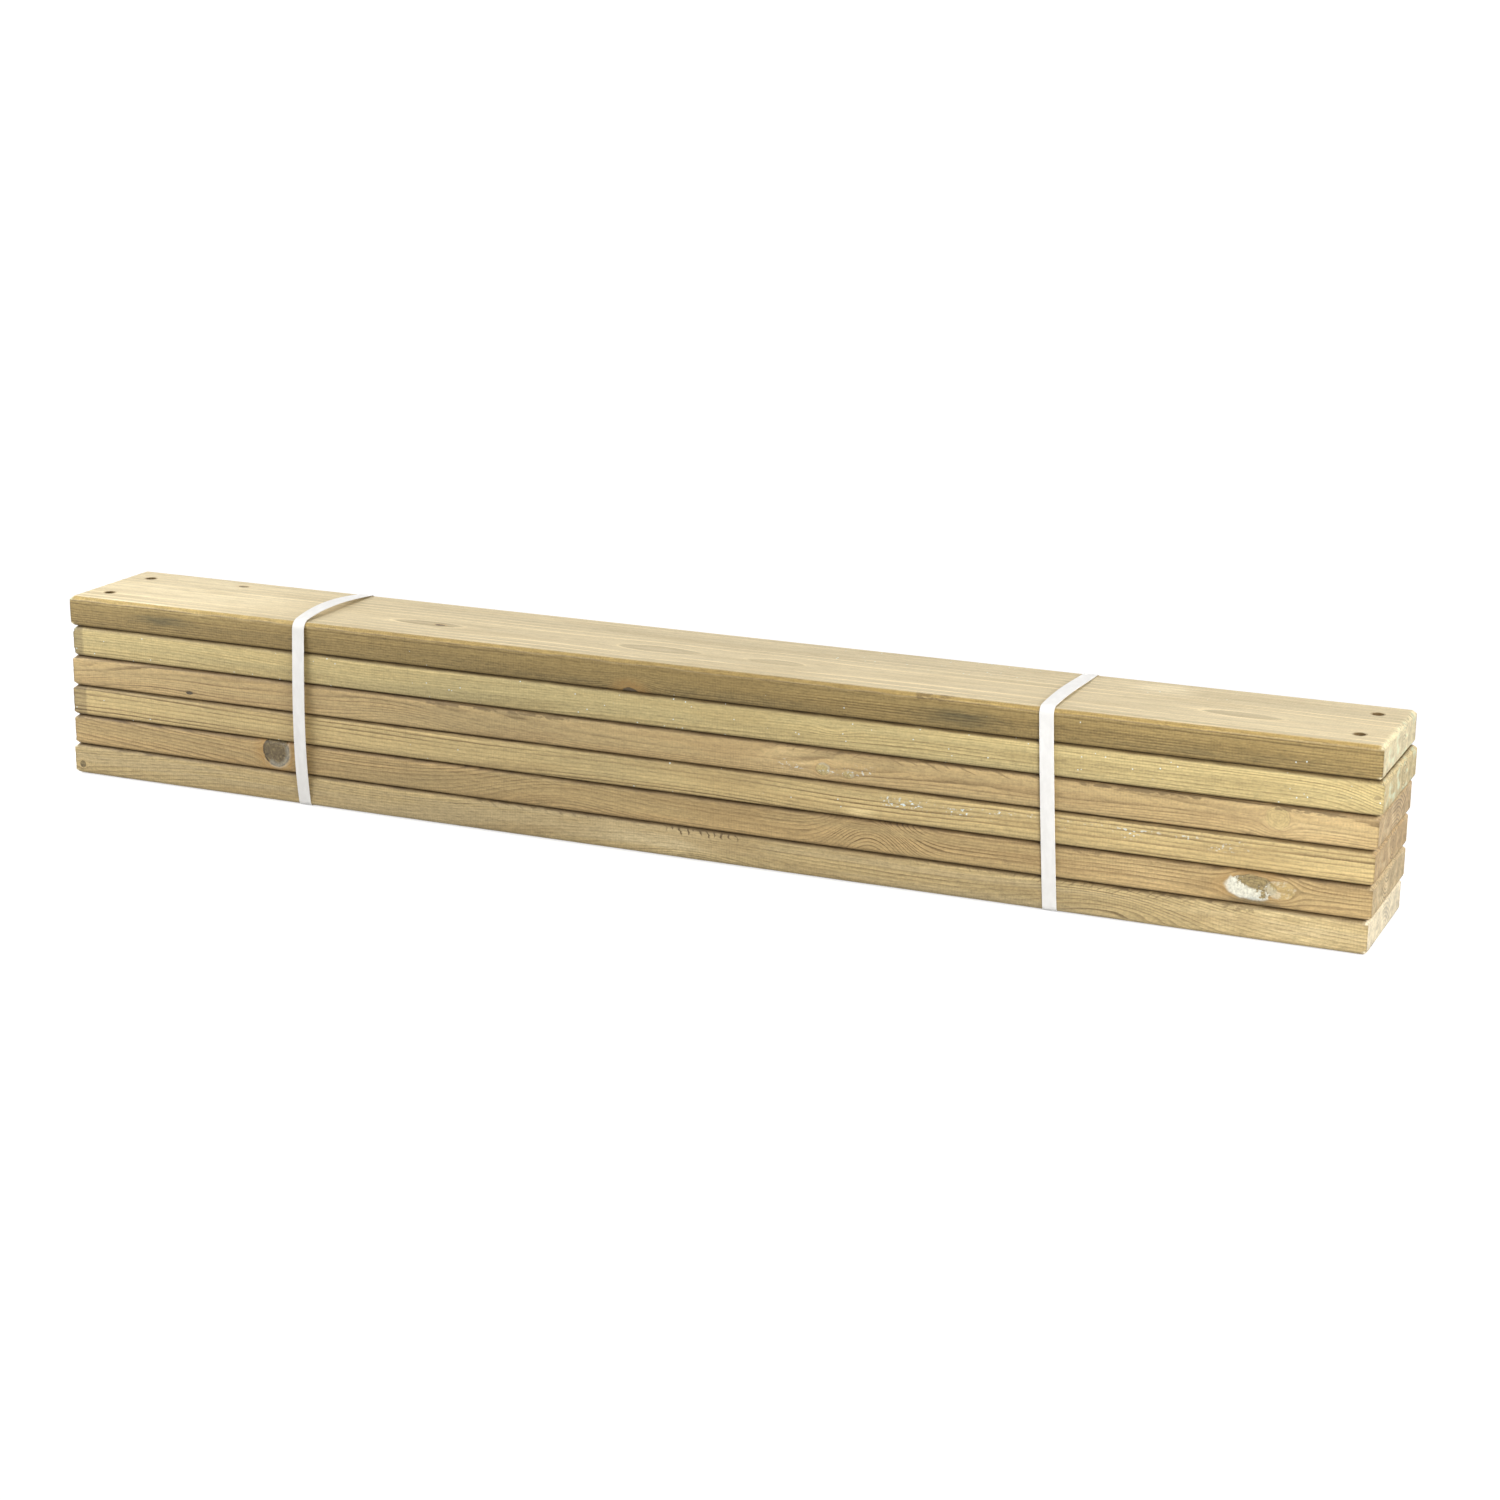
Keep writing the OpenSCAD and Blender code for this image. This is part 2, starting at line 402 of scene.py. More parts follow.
def end_ring_count(wood, points):
    """Number of growth rings seen on the sawn ends."""
    radius = np.hypot(points[:, 1] - wood.end_pith[0], points[:, 2] - wood.end_pith[1])
    radius += 0.9 * noise(points, (50, 14, 14), wood.seed + 6)
    return radius / wood.end_ring


def late_wood(count):
    """1 in the dark late wood of a ring and 0 in its early wood."""
    phase = count - np.floor(count)
    return smooth(phase, 0.35, 0.85) * (1 - smooth(phase, 0.92, 1.0))


def blot(points, centre, size):
    """A soft round patch: 1 in the middle and 0 outside."""
    d = np.sqrt((((points - np.array(centre, float)) / np.array(size, float)) ** 2).sum(1))
    return 1 - smooth(d, 0.2, 1.5)


def within(points, spans, margin):
    """1 inside a box given by its three spans, fading over the margin."""
    inside = np.ones(len(points))
    for value, (low, high) in zip(points.T, spans):
        inside *= smooth(value, low - margin, low) * (1 - smooth(value, high, high + margin))
    return inside


def groove_shade_depth(points, half, covered, stands_on):
    """How deep each point lies in the groove against the next plank, from 0 to 1: the strength of the shade
    painted there.
    """
    depth = np.zeros(len(points))
    if covered:
        depth = smooth(points[:, 2], half[2] - 3.4, half[2] - 0.2)
    if stands_on:
        depth = np.maximum(depth, smooth(-points[:, 2], half[2] - 2.2, half[2] - 0.1))
    return depth


def strip_shade(wood, points, half):
    """Darkness of the strip that a spacer left at the left end."""
    if not wood.left_strip:
        return np.zeros(len(points))
    edge = -half[0] + wood.left_strip + 0.4 * noise(points, (4, 4, 4), wood.seed + 30)
    return 1 - smooth(points[:, 0], edge - 0.8, edge + 0.8)


def hole_mouth(points, half):
    """1 at the edge of a hole, fading outside it."""
    dx = np.abs(points[:, 0]) - (half[0] - HOLE_INSET)
    dy = np.abs(points[:, 1]) - HOLE_Y
    return 1 - smooth(np.hypot(dx * 0.92, dy) - HOLE_RADIUS, 0.4, 1.7)


def patches(points, marks):
    """Sum of soft round patches, each with its centre, size and strength."""
    total = np.zeros(len(points))
    for centre, size, strength in marks:
        total += strength * blot(points, centre, size)
    return total


def strongest(points, marks, margin):
    """The strongest of several boxes at each point, each with its three spans and strength."""
    level = np.zeros(len(points))
    for *spans, strength in marks:
        level = np.maximum(level, strength * within(points, spans, margin))
    return level


def grain_fields(wood, points, half, kind, groove_shade):
    """Values that the wood's material reads, one for each point."""
    q, near_knot = flow_round_knots(wood, points)
    x, y, z = points.T
    rough = 1 + 0.5 * noise(points, (18, 5, 4), wood.seed + 20)
    front = smooth(np.abs(y), half[1] - 3.2, half[1] - 2.2)
    near_end = smooth(np.abs(x), half[0] - 3.4, half[0] - 2.2)
    chamfer = near_end * smooth(np.abs(z), half[2] - 3.6, half[2] - 2.8)
    uneven = z + 0.7 * wave(x, 23, wood.seed + 9)
    return {
        "place": points,
        "grain": q,
        "ring": np.where(kind == SAWN, end_ring_count(wood, points), ring_count(wood, q, half)),
        "near_knot": near_knot,
        # Stains and bleached patches, with the painted sheen and highlight of the top plank
        "stain_and_highlight": np.clip(patches(points, wood.stains_and_highlights) * rough, -1, 1),
        "bold": patches(points, wood.bold),
        # Worn edges, with the painted shade of their nicks
        "worn": strongest(points, wood.worn, 3.0),
        "speck": strongest(points, wood.specks, 4.0),
        "salt": strongest(points, wood.salt, 4.0),
        "front": front,
        "face": front * (1 - smooth(uneven, half[2] - 4.6, half[2] - 2.4)),
        "strip": strip_shade(wood, points, half) * front,
        # Painted shade in the grooves, weaker near the ends
        "groove_shade": groove_shade * (1 - 0.85 * near_end),
        "chamfer": chamfer,
        # Painted shade on the walls of the holes
        "bored_shade": (kind == DRILLED).astype(float),
        "mouth": hole_mouth(points, half),
        "end": np.where(kind == SAWN, 1.0, chamfer),
    }


# Mesh of a plank

class MeshParts:
    """Collects points and faces for one mesh."""

    def __init__(self):
        self.points = []
        self.normals = []
        self.kinds = []
        self.faces = {3: [], 4: []}
        self.count = 0

    def add_points(self, points, normals, kind=PLANED):
        start = self.count
        self.points.append(np.asarray(points, float))
        self.normals.append(np.broadcast_to(np.asarray(normals, float), np.shape(points)))
        self.kinds.append(np.full(len(points), kind))
        self.count += len(points)
        return np.arange(start, self.count)

    def add_faces(self, faces):
        faces = np.asarray(faces, int)
        self.faces[faces.shape[1]].append(faces)

    def bridge(self, outer, inner):
        """Quads between two loops with as many points each."""
        self.add_faces(np.c_[outer, np.roll(outer, -1), np.roll(inner, -1), inner])

    def zip_loops(self, outer, inner, outer_angle, inner_angle):
        """Triangles between two loops whose points go round the same way."""
        outer = outer[np.argsort(outer_angle)]
        inner = inner[np.argsort(inner_angle)]
        oa, ia = np.sort(outer_angle), np.sort(inner_angle)
        triangles, o, i = [], 0, 0
        while o < len(outer) or i < len(inner):
            next_o = oa[o + 1] if o + 1 < len(outer) else oa[0] + math.tau
            next_i = ia[i + 1] if i + 1 < len(inner) else ia[0] + math.tau
            a, b = outer[o % len(outer)], inner[i % len(inner)]
            if i == len(inner) or (o < len(outer) and next_o <= next_i):
                triangles.append((a, outer[(o + 1) % len(outer)], b))
                o += 1
            else:
                triangles.append((a, inner[(i + 1) % len(inner)], b))
                i += 1
        return np.array(triangles)

    def arrays(self):
        return np.vstack(self.points), np.vstack(self.normals), np.concatenate(self.kinds)


def mesh_object(name, points, faces_by_size):
    """A smooth-shaded object from points in metres and arrays of faces."""
    groups = [np.vstack(g) for g in faces_by_size.values() if len(g)]
    corners = np.concatenate([g.ravel() for g in groups])
    sizes = np.concatenate([np.full(len(g), g.shape[1]) for g in groups])
    mesh = bpy.data.meshes.new(name)
    mesh.vertices.add(len(points))
    mesh.vertices.foreach_set("co", np.asarray(points, np.float32).ravel())
    mesh.loops.add(len(corners))
    mesh.loops.foreach_set("vertex_index", corners.astype(np.int32))
    mesh.polygons.add(len(sizes))
    mesh.polygons.foreach_set("loop_start", (np.cumsum(sizes) - sizes).astype(np.int32))
    mesh.update(calc_edges=True)
    mesh.validate()
    mesh.shade_smooth()
    mesh.set_sharp_from_angle(angle=SHARP_ANGLE)
    piece = bpy.data.objects.new(name, mesh)
    bpy.context.collection.objects.link(piece)
    return piece


def write_fields(mesh, fields):
    """Stores each array of numbers or vectors on the points of a mesh."""
    for name, values in fields.items():
        kind, key = ("FLOAT", "value") if values.ndim == 1 else ("FLOAT_VECTOR", "vector")
        mesh.attributes.new(name, kind, "POINT").data.foreach_set(key, values.astype(np.float32).ravel())


def turned(angle):
    """Unit vectors at the given angles."""
    return np.stack([np.cos(angle), np.sin(angle)], -1)


def border(grid):
    """Once round the outside of a grid of point numbers."""
    return np.concatenate([grid[:-1, 0], grid[-1, :-1], grid[:0:-1, -1], grid[0, :0:-1]])


def spread(start, end, step):
    """Evenly spaced values from start to end, about a step apart."""
    return np.linspace(start, end, max(2, round(abs(end - start) / step) + 1))


def face_stations(half_y, step):
    """Places across a wide face, with one at each side of the patches round the holes."""
    flat = half_y - EDGE_RADIUS
    stops = [-flat, -HOLE_Y - PATCH_Y, -HOLE_Y + PATCH_Y, HOLE_Y - PATCH_Y, HOLE_Y + PATCH_Y, flat]
    return np.unique(np.concatenate([spread(a, b, step) for a, b in zip(stops, stops[1:])]).round(4))


def arc_points(centre, start):
    """Inner points of a rounded edge, turning clockwise from the given angle."""
    out = turned(np.radians(start - np.linspace(0, 90, ARC_STEPS + 1)[1:-1]))
    return np.array(centre) + EDGE_RADIUS * out, out


def section(half, top_step, bottom_step):
    """Points and outward directions round the section of a plank, up the front first."""
    flat_y, flat_z = half[1] - EDGE_RADIUS, half[2] - EDGE_RADIUS
    side = spread(-flat_z, flat_z, STEP_SIDE)
    top, bottom = face_stations(half[1], top_step), face_stations(half[1], bottom_step)[::-1]

    def flat(y, z, out):
        points = np.stack(np.broadcast_arrays(np.asarray(y, float), np.asarray(z, float)), -1)
        return points, np.broadcast_to(out, points.shape)

    parts = [
        flat(-half[1], side, (-1, 0)), arc_points((-flat_y, flat_z), 180),
        flat(top, half[2], (0, 1)), arc_points((flat_y, flat_z), 90),
        flat(half[1], side[::-1], (1, 0)), arc_points((flat_y, -flat_z), 0),
        flat(bottom, -half[2], (0, -1)), arc_points((-flat_y, -flat_z), -90),
    ]
    return np.vstack([p for p, _ in parts]), np.vstack([n for _, n in parts])


def length_stations(half_x):
    """Places along a plank, closer together near its ends."""
    chamfer = half_x - np.linspace(0, END_CHAMFER, CHAMFER_STEPS + 1)
    zone_end = half_x - END_CHAMFER - NEAR_END_STEPS * STEP_NEAR_END
    near = np.arange(half_x - END_CHAMFER, zone_end - 0.1, -STEP_NEAR_END)[1:]
    middle = spread(-zone_end, zone_end, STEP_ALONG)[1:-1]
    end = np.concatenate([chamfer, near])
    return np.concatenate([-end, middle, end[::-1]])


def hole_patch(parts, patch, points, centre, face_z):
    """Fills the square round a hole's mouth and lines the hole down to its middle."""
    loop = border(patch)
    outer = points[loop][:, :2]
    direction = outer - centre
    angle = np.arctan2(direction[:, 1], direction[:, 0])
    out = turned(angle)
    lip = centre + (HOLE_RADIUS + HOLE_LIP) * out
    circle = centre + HOLE_RADIUS * out
    up = np.sign(face_z)
    previous = loop
    for k in range(1, PATCH_RINGS + 1):
        t = (k / PATCH_RINGS) ** 0.8
        xy = outer * (1 - t) + lip * t
        ring = parts.add_points(np.c_[xy, np.full(len(xy), face_z)], (0, 0, up))
        parts.bridge(previous, ring)
        previous = ring
    for depth in np.linspace(HOLE_LIP, abs(face_z), HOLE_RINGS):
        level = np.full(len(circle), face_z - up * depth)
        ring = parts.add_points(np.c_[circle, level], (0, 0, 0), DRILLED)
        parts.bridge(previous, ring)
        previous = ring
    return previous, angle


def cut_holes(parts, grid, points, x, outline, half):
    """Adds the four holes and says which squares of the grid stay closed."""
    keep = np.ones((len(x) - 1, len(outline)), bool)
    for side_x, side_y in ((-1, -1), (-1, 1), (1, -1), (1, 1)):
        centre = np.array([side_x * (half[0] - HOLE_INSET), side_y * HOLE_Y])
        rows = np.where(np.abs(x - centre[0]) <= PATCH_X + 0.01)[0]
        walls = []
        for face_z in (half[2], -half[2]):
            near = np.abs(outline[:, 0] - centre[1]) <= PATCH_Y + 0.01
            columns = np.where(near & (np.abs(outline[:, 1] - face_z) < 1e-6))[0]
            keep[rows[0]:rows[-1], columns[0]:columns[-1]] = False
            patch = grid[rows[0]:rows[-1] + 1, columns[0]:columns[-1] + 1]
            walls.append(hole_patch(parts, patch, points, centre, face_z))
        (upper, upper_angle), (lower, lower_angle) = walls
        parts.add_faces(parts.zip_loops(upper, lower, upper_angle, lower_angle))
    return keep


def end_face(parts, loop, points, half, side):
    """Closes one end of a plank with a grid of points inside its outline."""
    reach = half[1] - END_INSET_Y, half[2] - END_CHAMFER - END_INSET_Z
    yy, zz = np.meshgrid(*(spread(-r, r, STEP_END_FACE) for r in reach), indexing="ij")
    flat = np.c_[np.full(yy.size, side * half[0]), yy.ravel(), zz.ravel()]
    grid = parts.add_points(flat, (side, 0, 0), SAWN).reshape(yy.shape)
    quads = np.stack([grid[:-1, :-1], grid[1:, :-1], grid[1:, 1:], grid[:-1, 1:]], -1).reshape(-1, 4)
    parts.add_faces(quads if side > 0 else quads[:, ::-1])
    rim = border(grid)
    inside = flat[rim - grid[0, 0]]
    outline = parts.add_points(points[loop], (side, 0, 0), SAWN)
    loop_angle = np.arctan2(points[loop][:, 2] * 4, points[loop][:, 1])
    rim_angle = np.arctan2(inside[:, 2] * 4, inside[:, 1])
    triangles = parts.zip_loops(outline, rim, loop_angle, rim_angle)
    parts.add_faces(triangles if side > 0 else triangles[:, ::-1])


def plank_parts(half, top_step, bottom_step):
    """The smooth shape of a plank about its own middle, before any relief."""
    outline, out = section(half, top_step, bottom_step)
    x = length_stations(half[0])
    limit = half[2] - np.maximum(np.abs(x) - (half[0] - END_CHAMFER), 0)
    points = np.empty((len(x), len(outline), 3))
    points[..., 0] = x[:, None]
    points[..., 1] = outline[:, 0]
    points[..., 2] = np.clip(outline[:, 1], -limit[:, None], limit[:, None])
    normals = np.zeros_like(points)
    normals[..., 1:] = out
    flat_points = points.reshape(-1, 3)
    parts = MeshParts()
    grid = parts.add_points(flat_points, normals.reshape(-1, 3)).reshape(len(x), len(outline))
    keep = cut_holes(parts, grid, flat_points, x, outline, half)
    after = np.roll(grid, -1, axis=1)
    parts.add_faces(np.stack([grid[:-1], grid[1:], after[1:], after[:-1]], -1)[keep])
    end_face(parts, grid[-1], flat_points, half, 1)
    end_face(parts, grid[0], flat_points, half, -1)
    return parts


def torn_depth(wood, points, half):
    """How far the front upper edge is chipped away, in millimetres."""
    x, y, z = points.T
    on_edge = smooth(-y, half[1] - 6, half[1] - 3) * smooth(z, half[2] - 6, half[2] - 3)
    chip = smooth(noise(points, (6, 5, 5), wood.seed + 8), 0.0, 0.6)
    depth = np.full(len(x), CHIP_SINK)
    for tear in wood.tears:
        span = smooth(x, tear.start - 6, tear.start + 6) * (1 - smooth(x, tear.end - 6, tear.end + 6))
        depth = np.maximum(depth, span * tear.strength)
    return depth * chip * on_edge


def relief(wood, points, kind, fields, half):
    """How far each point stands out of the smooth shape, in millimetres."""
    late = late_wood(fields["ring"])
    fibre = noise(fields["grain"], (34, 1.6, 1.6), wood.seed + 40)
    height = LATE_RISE * late + FIBRE_RISE * fibre - PLANED_OFF
    inside_knot = 1 - smooth(fields["near_knot"], 0.85, 1.1)
    crack = smooth(noise(points, (3.5, 3.5, 3.5), wood.seed + 41), 0.35, 0.6)
    height -= inside_knot * (KNOT_SINK + CRACK_SINK * crack)
    height -= torn_depth(wood, points, half)
    to_end = half[0] - np.abs(points[:, 0])
    rough = 1 - smooth(to_end, END_CHAMFER, END_CHAMFER + 2)
    height += rough * FRAY * (noise(points, (1.7, 2.3, 1.7), wood.seed + 42) - 1)
    sawn = SAWN_LATE * late + SAWN_SCORE * noise(points, (9, 2.2, 9), wood.seed + 43) - SAWN_OFF
    return np.minimum(np.where(kind == SAWN, sawn, height), 0.0)


def build_plank(name, wood):
    """Builds one dressed plank in place of its plain node."""
    low, high = (np.array(corner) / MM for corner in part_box(name))
    middle, half = (low + high) / 2, (high - low) / 2
    lowest, topmost = name == "plank_1", name == "plank_6"
    parts = plank_parts(half, STEP_SHOWN if topmost else STEP_HIDDEN, STEP_HIDDEN)
    points, normals, kind = parts.arrays()
    # Strength of the shade painted into the grooves
    groove_shade = groove_shade_depth(points, half, not topmost, not lowest)
    fields = grain_fields(wood, points, half, kind, groove_shade)
    covered = (normals[:, 2] < -0.99) | ((normals[:, 2] > 0.99) & (not topmost))
    height = np.where(covered, 0.0, relief(wood, points, kind, fields, half))
    shaped = points + normals * height[:, None]
    nibble = np.clip(noise(points, (2.5, 2.5, 2.5), wood.seed + 50), 0, 1) * wood.ragged
    shaped[:, 0] += np.where(points[:, 0] < -half[0] + RAGGED_DEPTH, nibble, 0)
    piece = mesh_object("dressed_" + name, (shaped + middle) * MM, parts.faces)
    write_fields(piece.data, fields)
    piece.data.materials.append(wood_material(name, wood, half))
    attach(piece, BODY)
    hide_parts(name)


# Materials

class Graph:
    """Adds shader nodes to an emptied tree with short calls."""

    def __init__(self, tree):
        self.tree = tree
        tree.nodes.clear()

    def put(self, socket, value):
        if isinstance(value, bpy.types.NodeSocket):
            self.tree.links.new(value, socket)
        elif isinstance(value, tuple) and len(value) == 3 and len(socket.default_value) == 4:
            socket.default_value = (*value, 1.0)
        else:
            socket.default_value = value

    def node(self, kind, inputs, **settings):
        node = self.tree.nodes.new("ShaderNode" + kind)
        for key, value in settings.items():
            setattr(node, key, value)
        for key, value in inputs.items():
            self.put(node.inputs[key], value)
        return node

    def math(self, operation, *values, clamp=False):
        inputs = dict(enumerate(values))
        return self.node("Math", inputs, operation=operation, use_clamp=clamp).outputs[0]

    def add(self, value, factor, base):
        return self.math("MULTIPLY_ADD", value, factor, base)

    def times(self, *values):
        result = values[0]
        for value in values[1:]:
            result = self.math("MULTIPLY", result, value)
        return result

    def step(self, value, low, high):
        inputs = {"Value": value, "From Min": low, "From Max": high}
        return self.node("MapRange", inputs, interpolation_type="SMOOTHSTEP").outputs[0]

    def mix(self, factor, a, b):
        return self.node("Mix", {0: factor, 6: a, 7: b}, data_type="RGBA").outputs[2]

    def tint(self, factor, colour, tint):
        return self.mix(factor, colour, self.vector("MULTIPLY", colour, tint))

    def centred(self, value):
        return self.math("SUBTRACT", value, 0.5)

    def vector(self, operation, *values, output=0):
        inputs = dict(enumerate(values))
        return self.node("VectorMath", inputs, operation=operation).outputs[output]

    def dot(self, vector, other):
        return self.vector("DOT_PRODUCT", vector, other, output="Value")

    def brighten(self, colour, factor):
        return self.node("VectorMath", {0: colour, "Scale": factor}, operation="SCALE").outputs[0]

    def noise(self, vector, period, detail=2.0, rough=0.5):
        scaled = self.vector("MULTIPLY", vector, tuple(1 / p for p in period))
        inputs = {"Vector": scaled, "Scale": 1.0, "Detail": detail, "Roughness": rough}
        return self.node("TexNoise", inputs).outputs[0]

    def lot(self, value):
        """A number from 0 to 1 drawn anew for each value."""
        return self.node("TexWhiteNoise", {"W": value}, noise_dimensions="1D").outputs[0]

    def read(self, name, output="Fac"):
        return self.node("Attribute", {}, attribute_name=name).outputs[output]

    def surface(self, colour, roughness, height, bump):
        normal = self.node("Bump", {"Height": height, "Distance": bump, "Strength": 1.0})
        shader = self.node("BsdfPrincipled", {
            "Base Color": colour, "Roughness": roughness, "Normal": normal.outputs[0],
            "Specular IOR Level": SPECULAR,
        })
        self.node("OutputMaterial", {"Surface": shader.outputs[0]})


def new_material(name):
    """An empty material and the graph that fills it."""
    material = bpy.data.materials.new(name)
    material.use_nodes = True
    return material, Graph(material.node_tree)


def ring_masks(g, grain, bold):
    """Where the dark late wood shows, the thin pale line at the start of each ring, and bands of rings."""
    wobble = g.centred(g.noise(grain, (40, 3, 3), 3, 0.6))
    ring = g.add(wobble, g.add(g.read("front"), 0.42, 0.08), g.read("ring"))
    phase = g.math("FRACT", ring)
    year = g.lot(g.math("FLOOR", ring))
    late = g.times(g.step(phase, g.add(bold, 0.15, 0.35), 0.85), g.step(phase, 1.0, 0.92))
    dark = g.times(late, g.add(year, 0.85, 0.5))
    pale = g.math("MAXIMUM", g.step(phase, 0.93, 1.0), g.step(phase, 0.25, 0.0))
    band = g.noise(g.node("CombineXYZ", {0: ring}).outputs[0], (3.3, 1, 1), 2)
    return dark, g.times(pale, g.add(year, 0.7, 0.3)), band


def knot_body(g, knot, rel, along, aside, distance, wobble):
    """Colour inside a knot, with rings, mottling and cracks that run outwards."""
    rings = g.step(g.math("FRACT", g.add(distance, 4.0, g.times(wobble, 2.0))), 0.1, 0.9)
    mottle = g.add(g.noise(rel, (3.4, 3.4, 3.4), 4, 0.65), 1.5, knot.dark - 0.75)
    body = g.brighten(g.mix(mottle, KNOT_LIGHT, KNOT_BROWN), g.add(rings, 0.3, 0.85))
    body = g.mix(max(knot.dark - 1.0, 0.0), body, KNOT_DARK)
    turn = g.times(g.math("ARCTAN2", aside, along), 2.2)
    ray = g.noise(g.node("CombineXYZ", {0: turn, 1: distance}).outputs[0], (1, 1.6, 1), 3)
    crack = g.times(g.step(ray, 0.56, 0.66), g.step(distance, 0.15, 0.5))
    return g.mix(g.times(crack, 0.1 + 0.5 * knot.dark), body, KNOT_DARK)


def paint_resin(g, colour, knot, rel, along, aside, distance, here):
    """Smears dried resin over one side of a knot."""
    inner = 1.0 - 0.8 * knot.resin
    side = g.add(along, knot.resin_side[0], g.times(aside, knot.resin_side[1]))
    side = g.add(g.centred(g.noise(rel, (7, 7, 6), 4, 0.65)), 4.0, side)
    ring = g.times(g.step(distance, 1.25, 1.0), g.step(distance, inner - 0.2, inner + 0.1))
    smear = g.times(g.step(side, -0.1, 0.25), ring, here, knot.resin)
    crumbs = g.add(g.noise(rel, (2.6, 2.6, 2.6), 3, 0.65), 1.6, 0.25)
    return g.mix(smear, colour, g.brighten(RESIN, crumbs))


def paint_knot(g, colour, place, knot):
    """Paints one knot with its halo, body, rim and any resin."""
    axis, across = knot_axes(knot)
    rel = g.vector("SUBTRACT", place, knot.at)
    along = g.dot(rel, (1 / (knot.radius * knot.stretch), 0.0, 0.0))
    aside = g.dot(rel, tuple(across / knot.radius))
    wobble = g.centred(g.noise(rel, (knot.radius * 0.8,) * 3, 3))
    spread_out = g.math("SQRT", g.add(along, along, g.times(aside, aside)))
    distance = g.add(wobble, 0.35, spread_out)
    here = g.times(g.step(g.dot(rel, tuple(axis)), -KNOT_DEPTH, -KNOT_DEPTH * 0.6), knot.painted)
    swirl = g.add(g.noise(rel, (4, 2.5, 2.5), 3), 1.4, -0.2)
    halo = g.times(g.step(distance, knot.halo_reach, 1.0), swirl, here, knot.halo)
    colour = g.mix(halo, colour, KNOT_HALO)
    body = knot_body(g, knot, rel, along, aside, distance, wobble)
    colour = g.mix(g.times(g.step(distance, 1.03, 0.95), here), colour, body)
    broken = g.step(g.noise(rel, (6, 6, 6), 2), 0.36, 0.56)
    rim = g.times(g.step(distance, 0.91, 0.99), g.step(distance, 1.07, 1.0), broken, here, knot.rim)
    colour = g.mix(rim, colour, KNOT_DARK)
    if knot.resin:
        colour = paint_resin(g, colour, knot, rel, along, aside, distance, here)
    return colour


def paint_tear(g, colour, place, tear, half):
    """Paints slanting torn strokes that start at the front upper edge."""
    x = g.dot(place, X_AXIS)
    below = g.math("SUBTRACT", half[2] - 1.5, g.dot(place, Z_AXIS))
    bend = g.centred(g.noise(place, (14, 6, 6), 2))
    count = g.math("DIVIDE", g.add(below, -tear.slant, g.add(bend, 11.0, x)), tear.pitch)
    offset = g.math("ABSOLUTE", g.centred(g.math("FRACT", count)))
    length = g.times(g.add(g.lot(g.math("FLOOR", count)), 0.95, 0.2), tear.reach)
    thin = g.math("DIVIDE", below, length)
    tapered = g.step(offset, g.add(thin, -0.16, 0.24), g.add(thin, -0.05, 0.06))
    stroke = g.times(tapered, g.step(thin, 1.0, 0.6))
    span = g.times(g.step(x, tear.start - 8, tear.start + 8), g.step(x, tear.end + 8, tear.end - 8))
    on_front = g.step(g.dot(place, FRONT), half[1] - 4, half[1] - 2)
    return g.mix(g.times(stroke, span, on_front, tear.strength), colour, TORN_WOOD_AND_SHADE)


def paint_stains_and_highlights(g, colour, place):
    """Darkens stained wood, and lightens bleached wood and paints the sheen and highlight on the top plank.
    """
    uneven = g.add(g.noise(place, (20, 1.8, 1.8), 3), 1.6, 0.1)
    stain_and_highlight = g.read("stain_and_highlight")
    colour = g.tint(g.math("MULTIPLY", stain_and_highlight, uneven, clamp=True), colour, STAIN)
    # Lightens bleached wood, and paints the sheen and highlight on the top plank
    bleach_and_highlight = g.math("MULTIPLY", g.times(stain_and_highlight, -1.0), uneven, clamp=True)
    return g.tint(bleach_and_highlight, colour, BLEACH_AND_HIGHLIGHT)


def paint_wear_and_nick_shade(g, colour, place):
    """Darkens worn edges in a ragged line, with painted shade where the edges are nicked and notched."""
    worn = g.read("worn")
    ragged = g.noise(place, (7, 3, 2.6), 3, 0.6)
    ragged = g.step(ragged, g.add(worn, -0.45, 0.70), g.add(worn, -0.45, 0.82))
    return g.mix(g.times(worn, ragged, 0.9), colour, TORN_WOOD_AND_SHADE)


def paint_salt(g, colour, place):
    """Adds single specks and crusts of dried salt."""
    scaled = g.vector("MULTIPLY", place, (0.36, 0.36, 0.36))
    cells = g.node("TexVoronoi", {"Vector": scaled, "Scale": 1.0}).outputs
    lot = g.node("SeparateColor", {0: cells["Color"]}).outputs
    chosen = g.math("LESS_THAN", lot[0], g.times(g.read("speck"), 0.16))
    dot = g.math("LESS_THAN", cells["Distance"], g.add(lot[1], 0.16, 0.14))
    colour = g.mix(g.times(chosen, dot, 0.85), colour, SALT)
    cluster = g.step(g.noise(place, (30, 9, 9), 1), 0.42, 0.60)
    crust = g.step(g.noise(place, (3.4, 2.0, 2.0), 2), 0.57, 0.63)
    return g.mix(g.times(g.read("salt"), cluster, crust, 0.9), colour, SALT)


def end_grain(g, wood, place, dark):
    """Colour of the sawn ends, with rings, saw marks and green traces of the treatment."""
    late = tuple(wood.end_late * c for c in wood.end_colour)
    colour = g.mix(g.math("MULTIPLY", dark, 0.9, clamp=True), wood.end_colour, late)
    cloud = g.add(g.noise(place, (30, 16, 8), 3), 1.2, 0.42)
    saw = g.add(g.noise(place, (30, 1.1, 40), 2), 0.2, 0.9)
    green = g.times(g.step(g.noise(place, (30, 15, 8), 3), 0.50, 0.64), wood.green)
    return g.brighten(g.mix(green, colour, COPPER_GREEN), g.times(cloud, saw))


